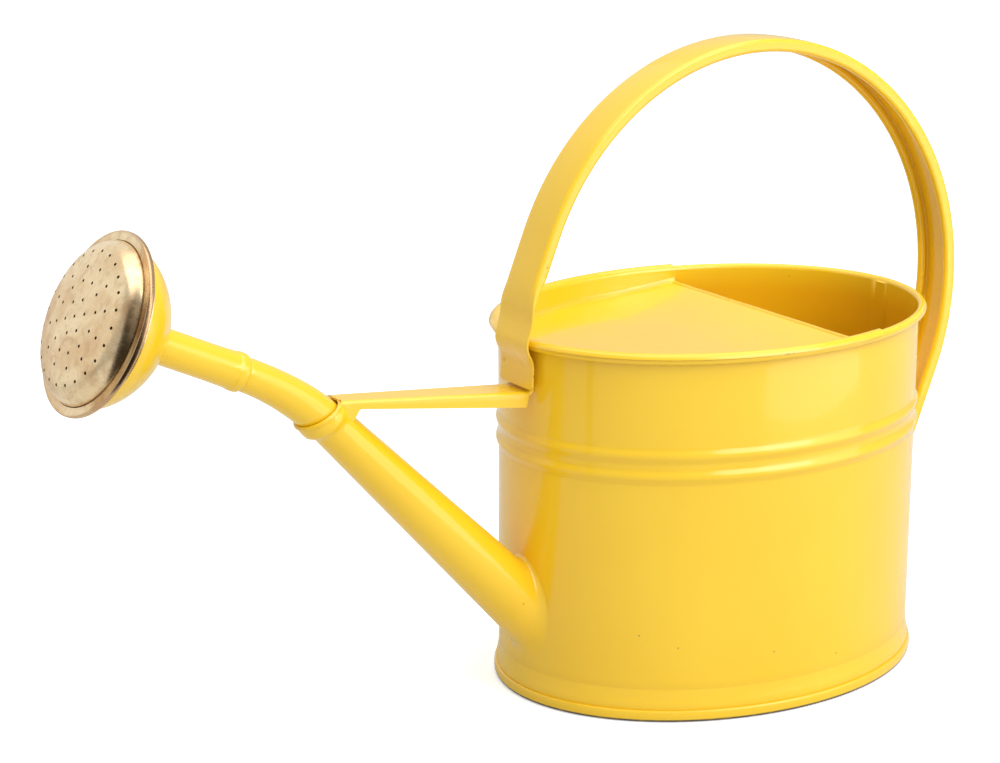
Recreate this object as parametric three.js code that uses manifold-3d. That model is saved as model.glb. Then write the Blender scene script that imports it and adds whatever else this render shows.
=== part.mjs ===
// Oval watering can: sheet body with a half cover, strap handle, braced spout, plug-in neck and brass rose.
// Millimetres, +Z up. The origin is the centre of the base on the ground, and the spout points along -X.
import * as THREE from 'three';
import { mergeVertices } from 'three/addons/utils/BufferGeometryUtils.js';
import Module from 'manifold-3d';

const wasm = await Module();
wasm.setup();

// Body: an oval of these half sizes, measured on the outside of the wall
const HALF_LENGTH = 99.3;
const HALF_WIDTH = 76.7;
const BODY_HEIGHT = 160;
const SHEET = 0.8;
const GAP = 0.3;
const OVAL_SEGMENTS = 48;
const WALL_TAPER = 0.6;
const RIBS = [107.5, 116.5];
const RIB_HEIGHT = 1.2;
const RIB_HALF_WIDTH = 3.2;
const SEAM_HEIGHT = 5;
const SEAM_DEPTH = 1.6;
const FLOOR_THICKNESS = 0.9;

// Rim: the wall curls outwards around a wire
const CURL_RADIUS = 2;
const CURL_OFFSET = CURL_RADIUS - SHEET;
const CURL_HEIGHT = BODY_HEIGHT - CURL_RADIUS;
const CURL_END = -100;
const WIRE_RADIUS = 0.9;

// Half cover over the front of the mouth
const COVER_SHEET = 0.6;
const COVER_EDGE_X = 33;
const COVER_LEVEL = 149;
const COVER_RISE = 4.2;
const COVER_RISE_START_X = -15;
const HEM_RADIUS = 1.1;

// Handle: a U of strap, tilted back, with two straight and parallel legs
const ARCH_CENTRE = [16.3, 160];
const ARCH_RADIUS = 117;
const ARCH_TILT = THREE.MathUtils.degToRad(22);
const FRONT_LEG = 22;
const REAR_LEG = 50;
const STRAP_WIDTH = 21;
const STRAP_DEPTH = 6;
const STRAP_WEB = 1.6;
const STRAP_BEAD = 3.8;
const FOOT_WIDTH = 24.5;
const FOOT_SHEET = 1.2;

// Spout: a cone on a sloping axis, from the wall to an oblique collar
const SPOUT_FOOT = [-99.3, 42.4];
const SPOUT_ANGLE = THREE.MathUtils.degToRad(45.6);
const SPOUT_FOOT_RADIUS = 13.7;
const SPOUT_NECK_RADIUS = 8.9;
const SPOUT_NECK_AT = 128;
const WALL_HOLE_RADIUS = 11.5;
const LIP_AT = 139.5;
const LIP_ANGLE = THREE.MathUtils.degToRad(62.6);
const LIP_RADIUS = 9.7;
const LIP_BEAD = 0.9;
const SPOUT_SEGMENTS = 26;
const TUBE_SEGMENTS = 22;

// Neck: straight plug, bend, straight end inside the sleeve of the rose
const PLUG_START_AT = 116;
const BEND_START_AT = 126.7;
const BEND_RADIUS = 150;
const ROSE_ANGLE = THREE.MathUtils.degToRad(25);
const BEND_LENGTH = BEND_RADIUS * (SPOUT_ANGLE - ROSE_ANGLE);
const ROSE_REACH = 65.8;
const NECK_END_BEHIND_ROSE = 51;

// Rose: distances along its axis are counted from the middle of the brass rim
const SLEEVE_START = -66.5;
const SLEEVE_END = -24;
const SLEEVE_BORE = 6.75;
const SLEEVE_RADIUS = 7.4;
const BOWL_RADIUS = 33.2;
const BOWL_DEPTH = 25.3;
const BOWL_START = -2;
const BOWL_ROUNDNESS = 1.7;
const BOWL_STEPS = 8;
const ROSE_SEGMENTS = 36;
const DOME_HEIGHT = 9.9;
const DOME_SPHERE = 174;
const DOME_FOOT_RADIUS = 33;
const SHOULDER_RADIUS = 7.5;
const FACE_SHEET = 0.6;
const HOLE_RADIUS = 0.65;
const HOLE_PHASE = THREE.MathUtils.degToRad(-71.5);
const HOLE_RINGS = [[1, 0], [6, 7], [12, 14.3], [12, 20.2], [24, 26.7]];

// Brace: inverted channel from the front foot to the collar
const BRACE_WALL_END = { x: -99.7, top: 138.1, bottom: 131.5, width: 18 };
const BRACE_SPOUT_END = { x: -185.3, top: 147.2, bottom: 143.7, width: 13 };
const BRACE_SHEET = 1;
const BRACE_TAB_TOP = 147.5;

// ---------- helpers ----------

function toManifold(geometry) {
  const bare = geometry.clone();
  bare.deleteAttribute('normal');
  bare.deleteAttribute('uv');
  const merged = mergeVertices(bare, 1e-4);
  const index = merged.index.array;
  const triangles = [];
  for (let i = 0; i < index.length; i += 3) {
    const [a, b, c] = [index[i], index[i + 1], index[i + 2]];
    if (a !== b && b !== c && c !== a) {
      triangles.push(a, b, c);
    }
  }
  return new wasm.Manifold(new wasm.Mesh({
    numProp: 3,
    vertProperties: new Float32Array(merged.attributes.position.array),
    triVerts: new Uint32Array(triangles),
  }));
}

function toGeometry(manifold) {
  const mesh = manifold.getMesh();
  const geometry = new THREE.BufferGeometry();
  geometry.setAttribute('position', new THREE.BufferAttribute(mesh.vertProperties, 3));
  geometry.setIndex(new THREE.BufferAttribute(mesh.triVerts, 1));
  return geometry;
}

function arcPoints(centre, radius, fromDegrees, toDegrees, steps) {
  const points = [];
  for (let i = 0; i <= steps; i++) {
    const angle = THREE.MathUtils.degToRad(fromDegrees + (toDegrees - fromDegrees) * i / steps);
    points.push([centre[0] + radius * Math.cos(angle), centre[1] + radius * Math.sin(angle)]);
  }
  return points;
}

// Turns a closed profile of [radius, height] points about +Z; the winding is made to face out
function lathe(profile, segments) {
  let area = 0;
  profile.forEach(([r, z], i) => {
    const [nextR, nextZ] = profile[(i + 1) % profile.length];
    area += r * nextZ - nextR * z;
  });
  const ordered = area > 0 ? [...profile] : [...profile].reverse();
  const touchesAxis = ordered.some(([r]) => r === 0);
  if (touchesAxis) {
    while (ordered[0][0] !== 0 || ordered[ordered.length - 1][0] !== 0) {
      ordered.push(ordered.shift());
    }
  } else {
    ordered.push(ordered[0]);
  }
  const points = ordered.map(([r, z]) => new THREE.Vector2(r, z));
  return new THREE.LatheGeometry(points, segments).rotateX(Math.PI / 2);
}

// A point of the body's oval, moved out by an offset along the oval's own normal
function ovalPoint(angle, offset) {
  const normal = new THREE.Vector2(HALF_WIDTH * Math.cos(angle), HALF_LENGTH * Math.sin(angle)).normalize();
  return new THREE.Vector2(
    HALF_LENGTH * Math.cos(angle) + offset * normal.x,
    HALF_WIDTH * Math.sin(angle) + offset * normal.y,
  );
}

// A ring that follows the oval, from a closed profile of [offset from the wall, height] points
function ovalRing(profile) {
  const geometry = lathe(profile.map(([offset, z]) => [HALF_LENGTH + offset, z]), OVAL_SEGMENTS);
  const position = geometry.attributes.position;
  for (let i = 0; i < position.count; i++) {
    const x = position.getX(i);
    const y = position.getY(i);
    const point = ovalPoint(Math.atan2(y, x), Math.hypot(x, y) - HALF_LENGTH);
    position.setXY(i, point.x, point.y);
  }
  return toManifold(geometry);
}

// A straight-sided oval block
function ovalBlock(offset, bottom, top) {
  const outline = [];
  for (let i = 0; i < OVAL_SEGMENTS; i++) {
    outline.push(ovalPoint(2 * Math.PI * i / OVAL_SEGMENTS, offset));
  }
  const settings = { depth: top - bottom, bevelEnabled: false };
  return toManifold(new THREE.ExtrudeGeometry(new THREE.Shape(outline), settings).translate(0, 0, bottom));
}

// A side outline of [x, z] points, given a width along Y
function slab(outline, width) {
  const shape = new THREE.Shape(outline.map(([x, z]) => new THREE.Vector2(x, z)));
  const geometry = new THREE.ExtrudeGeometry(shape, { depth: width, bevelEnabled: false });
  return toManifold(geometry.rotateX(Math.PI / 2).translate(0, width / 2, 0));
}

// A plan outline of [x, y] points, given a height
function plate(outline, bottom, top) {
  const shape = new THREE.Shape(outline.map(([x, y]) => new THREE.Vector2(x, y)));
  const settings = { depth: top - bottom, bevelEnabled: false };
  return toManifold(new THREE.ExtrudeGeometry(shape, settings).translate(0, 0, bottom));
}

// The outline of a bent sheet: one face is the given line, the other lies to the left of it
function sheetOutline(line, thickness) {
  const other = line.map(([x, z], i) => {
    const before = line[Math.max(i - 1, 0)];
    const after = line[Math.min(i + 1, line.length - 1)];
    const direction = new THREE.Vector2(after[0] - before[0], after[1] - before[1]).normalize();
    return [x - thickness * direction.y, z + thickness * direction.x];
  });
  return [...line, ...other.reverse()];
}

// Stands a shape that was made about +Z on a sloping axis in the XZ plane
function place(geometry, [x, z], elevation) {
  return geometry.rotateY(elevation - Math.PI / 2).translate(x, 0, z);
}

function along([x, z], elevation, distance) {
  return [x - distance * Math.cos(elevation), z + distance * Math.sin(elevation)];
}

// ---------- body ----------

function wallOffset(z) {
  return -WALL_TAPER * (1 - z / BODY_HEIGHT);
}

function wallOuterLine() {
  const foot = [[-0.6, FLOOR_THICKNESS + GAP], [-0.6, 5.1], [0.5, 6.1], [0.2, 9], [wallOffset(13), 13]];
  const ribs = RIBS.flatMap((z) => [
    [wallOffset(z), z - RIB_HALF_WIDTH],
    [wallOffset(z) + RIB_HEIGHT, z - RIB_HALF_WIDTH / 3],
    [wallOffset(z) + RIB_HEIGHT, z + RIB_HALF_WIDTH / 3],
    [wallOffset(z), z + RIB_HALF_WIDTH],
  ]);
  return [...foot, ...ribs];
}

function makeBodyWall() {
  const outer = wallOuterLine();
  const inner = outer.map(([offset, z]) => [offset - SHEET, z]);
  const centre = [CURL_OFFSET, CURL_HEIGHT];
  const curlInside = arcPoints(centre, CURL_RADIUS - SHEET, 180, CURL_END, 5);
  const curlOutside = arcPoints(centre, CURL_RADIUS, 180, CURL_END, 7);
  const wall = ovalRing([...outer, ...curlInside, ...curlOutside.reverse(), ...inner.reverse()]);
  const drill = new THREE.CylinderGeometry(WALL_HOLE_RADIUS, WALL_HOLE_RADIUS, 60, 24).rotateX(Math.PI / 2);
  return wall.subtract(toManifold(place(drill, SPOUT_FOOT, SPOUT_ANGLE)));
}

function makeRimWire() {
  return ovalRing(arcPoints([CURL_OFFSET, CURL_HEIGHT], WIRE_RADIUS, 0, 315, 7));
}

function makeBasePan() {
  const seam = ovalRing([
    [-0.25, 0],
    [SEAM_DEPTH - 0.7, 0],
    [SEAM_DEPTH - 0.1, 0.9],
    [SEAM_DEPTH, SEAM_HEIGHT / 2],
    [SEAM_DEPTH - 0.1, SEAM_HEIGHT - 0.9],
    [SEAM_DEPTH - 0.7, SEAM_HEIGHT],
    [-0.25, SEAM_HEIGHT],
  ]);
  return seam.add(ovalBlock(0.2, 0, FLOOR_THICKNESS));
}

// ---------- half cover ----------

function coverLevel(x) {
  const rise = Math.max(x - COVER_RISE_START_X, 0) / (COVER_EDGE_X - COVER_RISE_START_X);
  return COVER_LEVEL + COVER_RISE * rise * rise;
}

function makeTopCover() {
  const stations = [-HALF_LENGTH, COVER_RISE_START_X, -5, 5, 14, 23, COVER_EDGE_X];
  const upper = stations.map((x) => [x, coverLevel(x)]);
  const lower = stations.map((x) => [x, coverLevel(x) - SHEET]).reverse();
  const inside = ovalBlock(-SHEET - 2 * GAP, 100, BODY_HEIGHT);
  const hemCentre = [COVER_EDGE_X - HEM_RADIUS, coverLevel(COVER_EDGE_X) - HEM_RADIUS / 2];
  const hem = slab(arcPoints(hemCentre, HEM_RADIUS, 0, 315, 7), 2 * HALF_WIDTH);
  const panel = slab([...upper, ...lower], 2 * HALF_WIDTH).add(hem).intersect(inside);

  const centre = [CURL_OFFSET, CURL_HEIGHT];
  const near = arcPoints(centre, CURL_RADIUS + GAP, 180, 20, 6);
  const far = arcPoints(centre, CURL_RADIUS + GAP + COVER_SHEET, 180, 20, 7);
  const bottom = COVER_LEVEL - 2 * SHEET;
  const upstand = ovalRing([[near[0][0], bottom], ...near, ...far.reverse(), [far[far.length - 1][0], bottom]]);
  const keep = slab([...lower].reverse().concat([[COVER_EDGE_X, 200], [-130, 200], [-130, lower.at(-1)[1]]]), 400);
  return upstand.intersect(keep).add(panel);
}

// ---------- handle ----------

const LEG_DIRECTION = [-Math.sin(ARCH_TILT), -Math.cos(ARCH_TILT)];
const ARCH_START = [
  ARCH_CENTRE[0] - ARCH_RADIUS * Math.cos(ARCH_TILT),
  ARCH_CENTRE[1] + ARCH_RADIUS * Math.sin(ARCH_TILT),
];
const ARCH_END = [
  ARCH_CENTRE[0] + ARCH_RADIUS * Math.cos(ARCH_TILT),
  ARCH_CENTRE[1] - ARCH_RADIUS * Math.sin(ARCH_TILT),
];

// The outer face of the strap in side view: up the front leg, over the arch, down the rear leg
class StrapLine extends THREE.Curve {
  getPoint(t, target = new THREE.Vector3()) {
    const archLength = Math.PI * ARCH_RADIUS;
    const distance = t * (FRONT_LEG + archLength + REAR_LEG);
    if (distance < FRONT_LEG) {
      const below = FRONT_LEG - distance;
      return target.set(ARCH_START[0] + below * LEG_DIRECTION[0], 0, ARCH_START[1] + below * LEG_DIRECTION[1]);
    }
    if (distance > FRONT_LEG + archLength) {
      const below = distance - FRONT_LEG - archLength;
      return target.set(ARCH_END[0] + below * LEG_DIRECTION[0], 0, ARCH_END[1] + below * LEG_DIRECTION[1]);
    }
    const angle = Math.PI - ARCH_TILT - (distance - FRONT_LEG) / ARCH_RADIUS;
    return target.set(
      ARCH_CENTRE[0] + ARCH_RADIUS * Math.cos(angle),
      0,
      ARCH_CENTRE[1] + ARCH_RADIUS * Math.sin(angle),
    );
  }
}

// Half of the strap's section, mirrored: a web between two rolled edges; y grows towards the inside
function strapSection() {
  const edge = STRAP_WIDTH / 2;
  const bead = edge - STRAP_BEAD;
  const half = [
    [edge - 1.4, 0],
    [edge, 1.1],
    [edge, STRAP_DEPTH - 1.3],
    [edge - 1.2, STRAP_DEPTH],
    [bead + 1, STRAP_DEPTH],
    [bead, STRAP_DEPTH - 1],
    [bead, STRAP_WEB],
  ];
  const mirrored = half.map(([x, y]) => [-x, y]).reverse();
  return new THREE.Shape([...half, ...mirrored].map(([x, y]) => new THREE.Vector2(x, y)));
}

function makeHandleStrap() {
  const settings = { steps: 44, bevelEnabled: false, extrudePath: new StrapLine() };
  const strap = toManifold(new THREE.ExtrudeGeometry(strapSection(), settings));
  const frontFoot = [
    [-95.6, 195.4],
    [-100.6, 183],
    [-102.1, 176],
    [-102.1, 166],
    [-104.9, 161.5],
    [-104.9, 156.5],
    [-102.2, 152],
    [-102.2, 140],
  ];
  const rearFoot = [
    [100.5, 36],
    [100.5, 54.5],
    [101.4, 58.3],
    [107.6, 73.6],
  ];
  return strap
    .add(slab(sheetOutline(frontFoot, FOOT_SHEET), FOOT_WIDTH))
    .add(slab(sheetOutline(rearFoot, FOOT_SHEET), FOOT_WIDTH));
}

// ---------- spout ----------

function spoutRadius(distance) {
  const slope = (SPOUT_FOOT_RADIUS - SPOUT_NECK_RADIUS) / SPOUT_NECK_AT;
  return SPOUT_FOOT_RADIUS - slope * distance;
}

function spoutSolid(growth) {
  const end = LIP_AT + 6;
  const profile = [
    [0, -25],
    [spoutRadius(-25) + growth, -25],
    [SPOUT_NECK_RADIUS + growth, SPOUT_NECK_AT],
    [SPOUT_NECK_RADIUS + 0.5 + growth, SPOUT_NECK_AT + 6],
    [LIP_RADIUS + 0.3 + growth, LIP_AT + 0.5],
    [LIP_RADIUS + 0.6 + growth, end],
    [0, end],
  ];
  return toManifold(place(lathe(profile, SPOUT_SEGMENTS), SPOUT_FOOT, SPOUT_ANGLE));
}

function solderFlange(reach, height) {
  const ring = spoutSolid(reach).intersect(ovalBlock(height, 0, 90));
  return ring;
}

function makeSpoutTube() {
  const lipCentre = along(SPOUT_FOOT, SPOUT_ANGLE, LIP_AT);
  const aboveLip = place(new THREE.BoxGeometry(60, 60, 30).translate(0, 0, 15), lipCentre, LIP_ANGLE);
  const bead = place(lathe(arcPoints([LIP_RADIUS, 0], LIP_BEAD, 0, 300, 5), SPOUT_SEGMENTS), lipCentre, LIP_ANGLE);
  return spoutSolid(0)
    .subtract(toManifold(aboveLip))
    .add(toManifold(bead))
    .add(solderFlange(2.6, 1.2))
    .add(solderFlange(1.2, 2.6))
    .subtract(spoutSolid(-SHEET))
    .subtract(ovalBlock(-0.05, -1, 90));
}

// ---------- neck ----------

const BEND_START = along(SPOUT_FOOT, SPOUT_ANGLE, BEND_START_AT);
const BEND_END = [
  BEND_START[0] + BEND_RADIUS * (Math.sin(ROSE_ANGLE) - Math.sin(SPOUT_ANGLE)),
  BEND_START[1] + BEND_RADIUS * (Math.cos(ROSE_ANGLE) - Math.cos(SPOUT_ANGLE)),
];
const ROSE_CENTRE = along(BEND_END, ROSE_ANGLE, ROSE_REACH);

// Moves a tube made along +Z onto the neck's line; z = 0 is where the bend starts
function bendAlongNeck(geometry) {
  const position = geometry.attributes.position;
  for (let i = 0; i < position.count; i++) {
    const distance = position.getZ(i);
    const bent = THREE.MathUtils.clamp(distance, 0, BEND_LENGTH);
    const angle = SPOUT_ANGLE - bent / BEND_RADIUS;
    const centre = [
      BEND_START[0] + BEND_RADIUS * (Math.sin(angle) - Math.sin(SPOUT_ANGLE)),
      BEND_START[1] + BEND_RADIUS * (Math.cos(angle) - Math.cos(SPOUT_ANGLE)),
    ];
    const [x, z] = along(centre, angle, distance - bent);
    const out = position.getX(i);
    position.setXYZ(i, x + out * Math.sin(angle), position.getY(i), z + out * Math.cos(angle));
  }
  return geometry;
}

function makeNeckTube() {
  const behindRose = (distance) => BEND_LENGTH + ROSE_REACH - distance;
  const outer = [
    [7.85, PLUG_START_AT - BEND_START_AT],
    [7.85, 0],
    [8.15, 10],
    [8.15, 20],
    [7.85, 27],
    [7.5, 34],
    [7.25, 41],
    [7.1, 47],
    [7.05, behindRose(67.3)],
    [SLEEVE_BORE - GAP, behindRose(65.6)],
    [SLEEVE_BORE - GAP, behindRose(NECK_END_BEHIND_ROSE)],
  ];
  const inner = outer.map(([r, z]) => [r - SHEET, z]).reverse();
  return toManifold(bendAlongNeck(lathe([...outer, ...inner], TUBE_SEGMENTS)));
}

// ---------- rose ----------

function atRose(geometry) {
  return toManifold(place(geometry, ROSE_CENTRE, ROSE_ANGLE));
}

function makeRoseSleeve() {
  return atRose(lathe([
    [SLEEVE_RADIUS, SLEEVE_END],
    [SLEEVE_RADIUS, -50],
    [SLEEVE_RADIUS + 0.25, -60],
    [SLEEVE_RADIUS + 0.7, -62.4],
    [SLEEVE_RADIUS + 0.8, -64],
    [SLEEVE_RADIUS + 0.6, -65.5],
    [SLEEVE_RADIUS + 0.2, SLEEVE_START],
    [SLEEVE_BORE + 0.5, SLEEVE_START],
    [SLEEVE_BORE, -63],
    [SLEEVE_BORE, SLEEVE_END],
  ], TUBE_SEGMENTS));
}

// The bowl's section from its rim to its middle
function bowlLine(radius, depth) {
  const points = [];
  for (let i = 0; i <= BOWL_STEPS; i++) {
    const angle = Math.PI / 2 * i / BOWL_STEPS;
    const across = i === BOWL_STEPS ? 0 : radius * Math.cos(angle) ** (2 / BOWL_ROUNDNESS);
    points.push([across, BOWL_START - depth * Math.sin(angle) ** (2 / BOWL_ROUNDNESS)]);
  }
  return points;
}

function makeRoseBowl() {
  const inner = bowlLine(BOWL_RADIUS - SHEET, BOWL_DEPTH - SHEET).reverse();
  const flange = [[BOWL_RADIUS - SHEET, -0.3], [35.6, -0.3], [35.6, -0.8], [BOWL_RADIUS, -0.8]];
  const bowl = atRose(lathe([...inner, ...flange, ...bowlLine(BOWL_RADIUS, BOWL_DEPTH)], ROSE_SEGMENTS));
  const hole = SLEEVE_RADIUS + GAP;
  const drill = new THREE.CylinderGeometry(hole, hole, 30, 24).rotateX(Math.PI / 2).translate(0, 0, -34);
  return bowl.subtract(atRose(drill));
}

// The dome's section from its middle to its foot, moved inwards by an inset
function domeLine(inset) {
  const sphere = DOME_SPHERE - inset;
  const shoulder = SHOULDER_RADIUS - inset;
  const sphereCentre = DOME_HEIGHT - DOME_SPHERE;
  const shoulderAcross = DOME_FOOT_RADIUS - SHOULDER_RADIUS;
  const shoulderHeight = sphereCentre + Math.sqrt((DOME_SPHERE - SHOULDER_RADIUS) ** 2 - shoulderAcross ** 2);
  const meet = THREE.MathUtils.radToDeg(Math.atan2(shoulderHeight - sphereCentre, shoulderAcross));
  const crown = arcPoints([0, sphereCentre], sphere, 90, meet, 3).slice(1, -1);
  const bend = arcPoints([shoulderAcross, shoulderHeight], shoulder, meet, 8, 4);
  return [[0, sphereCentre + sphere], ...crown, ...bend];
}

function makeRoseFace() {
  const edge = [
    [DOME_FOOT_RADIUS + 0.8, 0.7],
    [36.3, 0.9],
    [37, 0.1],
    [36.9, -1.2],
    [36.2, -1.7],
    [34.6, -1.7],
    [34.6, -1.1],
    [35.9, -1.1],
    [36.2, -0.5],
    [36, 0.05],
    [DOME_FOOT_RADIUS + 0.3, 0.05],
  ];
  const profile = [...domeLine(0), ...edge, ...domeLine(FACE_SHEET).reverse()];
  let drills = null;
  for (const [count, radius] of HOLE_RINGS) {
    for (let i = 0; i < count; i++) {
      const angle = HOLE_PHASE + 2 * Math.PI * i / count;
      const drill = new THREE.CylinderGeometry(HOLE_RADIUS, HOLE_RADIUS, 8, 6).rotateX(Math.PI / 2);
      drill.translate(radius * Math.cos(angle), radius * Math.sin(angle), DOME_HEIGHT - 1);
      drills = drills ? drills.add(toManifold(drill)) : toManifold(drill);
    }
  }
  const placedDrills = atRose(toGeometry(drills));
  return atRose(lathe(profile, ROSE_SEGMENTS)).subtract(placedDrills);
}

// ---------- brace ----------

function makeBrace() {
  const [wall, spout] = [BRACE_WALL_END, BRACE_SPOUT_END];
  const side = (topDrop, bottomDrop, extra) => slab([
    [wall.x + extra, wall.bottom - bottomDrop],
    [wall.x + extra, wall.top - topDrop],
    [spout.x - extra, spout.top - topDrop],
    [spout.x - extra, spout.bottom - bottomDrop],
  ], 40);
  const plan = (inset) => plate([
    [wall.x + 5, wall.width / 2 - inset],
    [spout.x - 5, spout.width / 2 - inset],
    [spout.x - 5, inset - spout.width / 2],
    [wall.x + 5, inset - wall.width / 2],
  ].reverse(), 100, 170);
  const outside = side(0, 0, 0).intersect(plan(0));
  const inside = side(BRACE_SHEET, 10, 2).intersect(plan(BRACE_SHEET));
  const wallTab = slab([
    [wall.x, wall.top - BRACE_SHEET],
    [wall.x, BRACE_TAB_TOP],
    [wall.x - BRACE_SHEET, BRACE_TAB_TOP],
    [wall.x - BRACE_SHEET, wall.top - BRACE_SHEET],
  ], wall.width);
  const saddle = [
    [-179.4, 138.7],
    [-184.4, 143.9],
    [-184.4, 146.6],
  ];
  const spoutTab = slab(sheetOutline(saddle, BRACE_SHEET).reverse(), spout.width - 4);
  return outside.subtract(inside).add(wallTab).add(spoutTab);
}

// ---------- assembly ----------

const PAINT = { color: 0xf2bb1c, roughness: 0.32, metalness: 0 };
const BRASS = { color: 0xc8a06c, roughness: 0.34, metalness: 1 };
const STEEL = { color: 0x9a9a98, roughness: 0.5, metalness: 1 };

function piece(name, manifold, look) {
  const mesh = new THREE.Mesh(toGeometry(manifold), new THREE.MeshStandardMaterial(look));
  mesh.name = name;
  mesh.geometry.computeVertexNormals();
  return mesh;
}

const can = new THREE.Group();
can.add(
  piece('body_wall', makeBodyWall(), PAINT),
  piece('rim_wire', makeRimWire(), STEEL),
  piece('base_pan', makeBasePan(), PAINT),
  piece('top_cover', makeTopCover(), PAINT),
  piece('handle_strap', makeHandleStrap(), PAINT),
  piece('brace', makeBrace(), PAINT),
  piece('spout_tube', makeSpoutTube(), PAINT),
  piece('neck_tube', makeNeckTube(), PAINT),
  piece('rose_sleeve', makeRoseSleeve(), PAINT),
  piece('rose_bowl', makeRoseBowl(), PAINT),
  piece('rose_face', makeRoseFace(), BRASS),
);

export default can;
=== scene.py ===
"""Oval watering can in yellow paint, with a strap handle, a braced spout and a brass rose."""
import math

import bpy
import bmesh
import numpy as np
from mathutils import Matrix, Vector, geometry


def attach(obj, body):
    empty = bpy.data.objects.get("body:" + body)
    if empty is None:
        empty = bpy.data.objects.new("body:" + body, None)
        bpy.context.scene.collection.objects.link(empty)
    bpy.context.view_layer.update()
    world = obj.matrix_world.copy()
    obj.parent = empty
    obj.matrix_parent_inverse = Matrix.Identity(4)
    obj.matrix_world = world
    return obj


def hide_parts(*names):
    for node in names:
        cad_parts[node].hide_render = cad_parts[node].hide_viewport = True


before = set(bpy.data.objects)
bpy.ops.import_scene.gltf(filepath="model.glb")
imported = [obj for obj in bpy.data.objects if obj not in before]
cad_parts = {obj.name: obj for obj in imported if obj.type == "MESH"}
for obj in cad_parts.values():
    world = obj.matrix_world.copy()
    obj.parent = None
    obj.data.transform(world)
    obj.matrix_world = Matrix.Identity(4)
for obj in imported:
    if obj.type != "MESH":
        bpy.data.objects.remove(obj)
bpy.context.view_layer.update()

MM = 0.001

# ---------- dimensions, in millimetres ----------

# Body
HALF_LENGTH = 99.3
HALF_WIDTH = 76.7
BODY_HEIGHT = 160.0
SHEET = 0.8
WALL_TAPER = 0.6
RIBS = (107.5, 116.5)
RIB_HEIGHT = 1.15
RIB_HALF_WIDTH = 3.7
WALL_COLUMNS = 264
CURL_RADIUS = 2.0
CURL_CENTRE = (1.2, 158.0)
CURL_END = -100.0
LAP_HALF = 2.6
LAP_STEP = 0.45
SEAM_DEPTH = 1.6
FLOOR_LEVEL = 0.9
UNDERSIDE_LEVEL = 0.35
PANEL_RELIEF = 0.35

# Half cover
COVER_EDGE_X = 33.0
COVER_LEVEL = 149.0
COVER_RISE = 4.2
COVER_RISE_START_X = -15.0
COVER_ROLL_RADIUS = 2.9
COVER_BEND_RADIUS = 2.6
COVER_SHEET = 0.6
HEM_RADIUS = 1.1

# Handle
ARCH_CENTRE = (16.3, 160.0)
ARCH_RADIUS = 117.0
ARCH_TILT = math.radians(22)
STRAP_HALF = 10.5
STRAP_DEPTH = 6.0
STRAP_WEB = 1.5
BEAD_RADIUS = 1.9
CROWN = 0.45
FOOT_HALF = 12.2
FOOT_SHEET = 1.2
FOOT_CORNER = 1.6
WELD_SPOTS = ((-4.4, 150.4, 0.22), (8.6, 148.8, 0.62))
WELD_RADIUS = 2.3

# Spout
SPOUT_FOOT = (-99.3, 42.4)
SPOUT_ANGLE = math.radians(45.6)
SPOUT_FOOT_RADIUS = 13.7
SPOUT_NECK_RADIUS = 8.9
SPOUT_NECK_AT = 128.0
WALL_HOLE_RADIUS = 11.5
LIP_AT = 139.5
LIP_ANGLE = math.radians(62.6)
LIP_RADIUS = 9.7
LIP_BEAD = 0.95
FLARE_LENGTH = (6.5, 10.0)
FLARE_FULL = (2.2, 5.6)
FLARE_GROWTH = (1.3, 2.3)
MOUTH_BORE = 8.5
SOLDER_REACH = 3.6
SOLDER_RISE = 4.6

# Neck
BEND_START_AT = 126.7
BEND_RADIUS = 150.0
ROSE_ANGLE = math.radians(25)
ROSE_REACH = 65.8
SLEEVE_BORE = 6.75
TUBE_SIDES = 72

# Rose
BOWL_RADIUS = 33.2
BOWL_DEPTH = 25.3
BOWL_START = -2.0
BOWL_ROUNDNESS = 1.7
DOME_HEIGHT = 9.9
DOME_SPHERE = 174.0
DOME_FOOT_RADIUS = 33.0
SHOULDER_RADIUS = 9.0
FACE_SHEET = 0.6
EDGE_RADIUS = 37.0
HOLE_RADIUS = 0.65
HOLE_PHASE = math.radians(-71.5)
HOLE_RINGS = ((1, 0.0), (6, 7.0), (12, 14.3), (12, 20.2), (24, 26.7))

# Brace
BRACE_WALL_X = -100.3
BRACE_TAPER_LENGTH = 84.4
BRACE_HALF = (9.0, 6.5)
BRACE_DROP = (6.6, 3.5)
BRACE_SHEET = 1.0
BRACE_FOLD = 1.3
BRACE_SWEEP = 0.05
BRACE_SINK = 0.25

# Camera, in metres
CAMERA_PLACE = (-0.70124, -0.90910, 0.43758)
CAMERA_TARGET = (-0.1100, 0.0, 0.14225)
CAMERA_LENS = 97.0

# Studio
SURROUND = 0.56
FLOOR_GLOW = 0.40
FLOOR_BOUNCE = (0.66, 0.66, 0.65, 1)
SCREEN_SPAN = (-358.0, -240.0)
SCREEN_SIDE = -76.0
SCREEN_HEIGHT = (45.0, 420.0)
SCREEN_FADE = (16.0, 20.0, 180.0)


# ---------- lines and grids ----------

def arc(centre, radius, start, end, steps):
    """Points of a circle's arc, with the angles in degrees."""
    angles = np.radians(np.linspace(start, end, steps + 1))
    return beside(centre[0] + radius * np.cos(angles), centre[1] + radius * np.sin(angles))


def rounded(points, passes=3):
    """A line with its corners cut away, softer with each pass."""
    line = np.asarray(points, float)
    for _ in range(passes):
        near = 0.75 * line[:-1] + 0.25 * line[1:]
        far = 0.25 * line[:-1] + 0.75 * line[1:]
        middle = np.stack([near, far], axis=1).reshape(-1, line.shape[1])
        line = np.concatenate([line[:1], middle, line[-1:]])
    return line


def beside(*columns):
    """Columns of numbers set side by side, so that each row is a point."""
    return np.stack(columns, axis=1)


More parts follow.
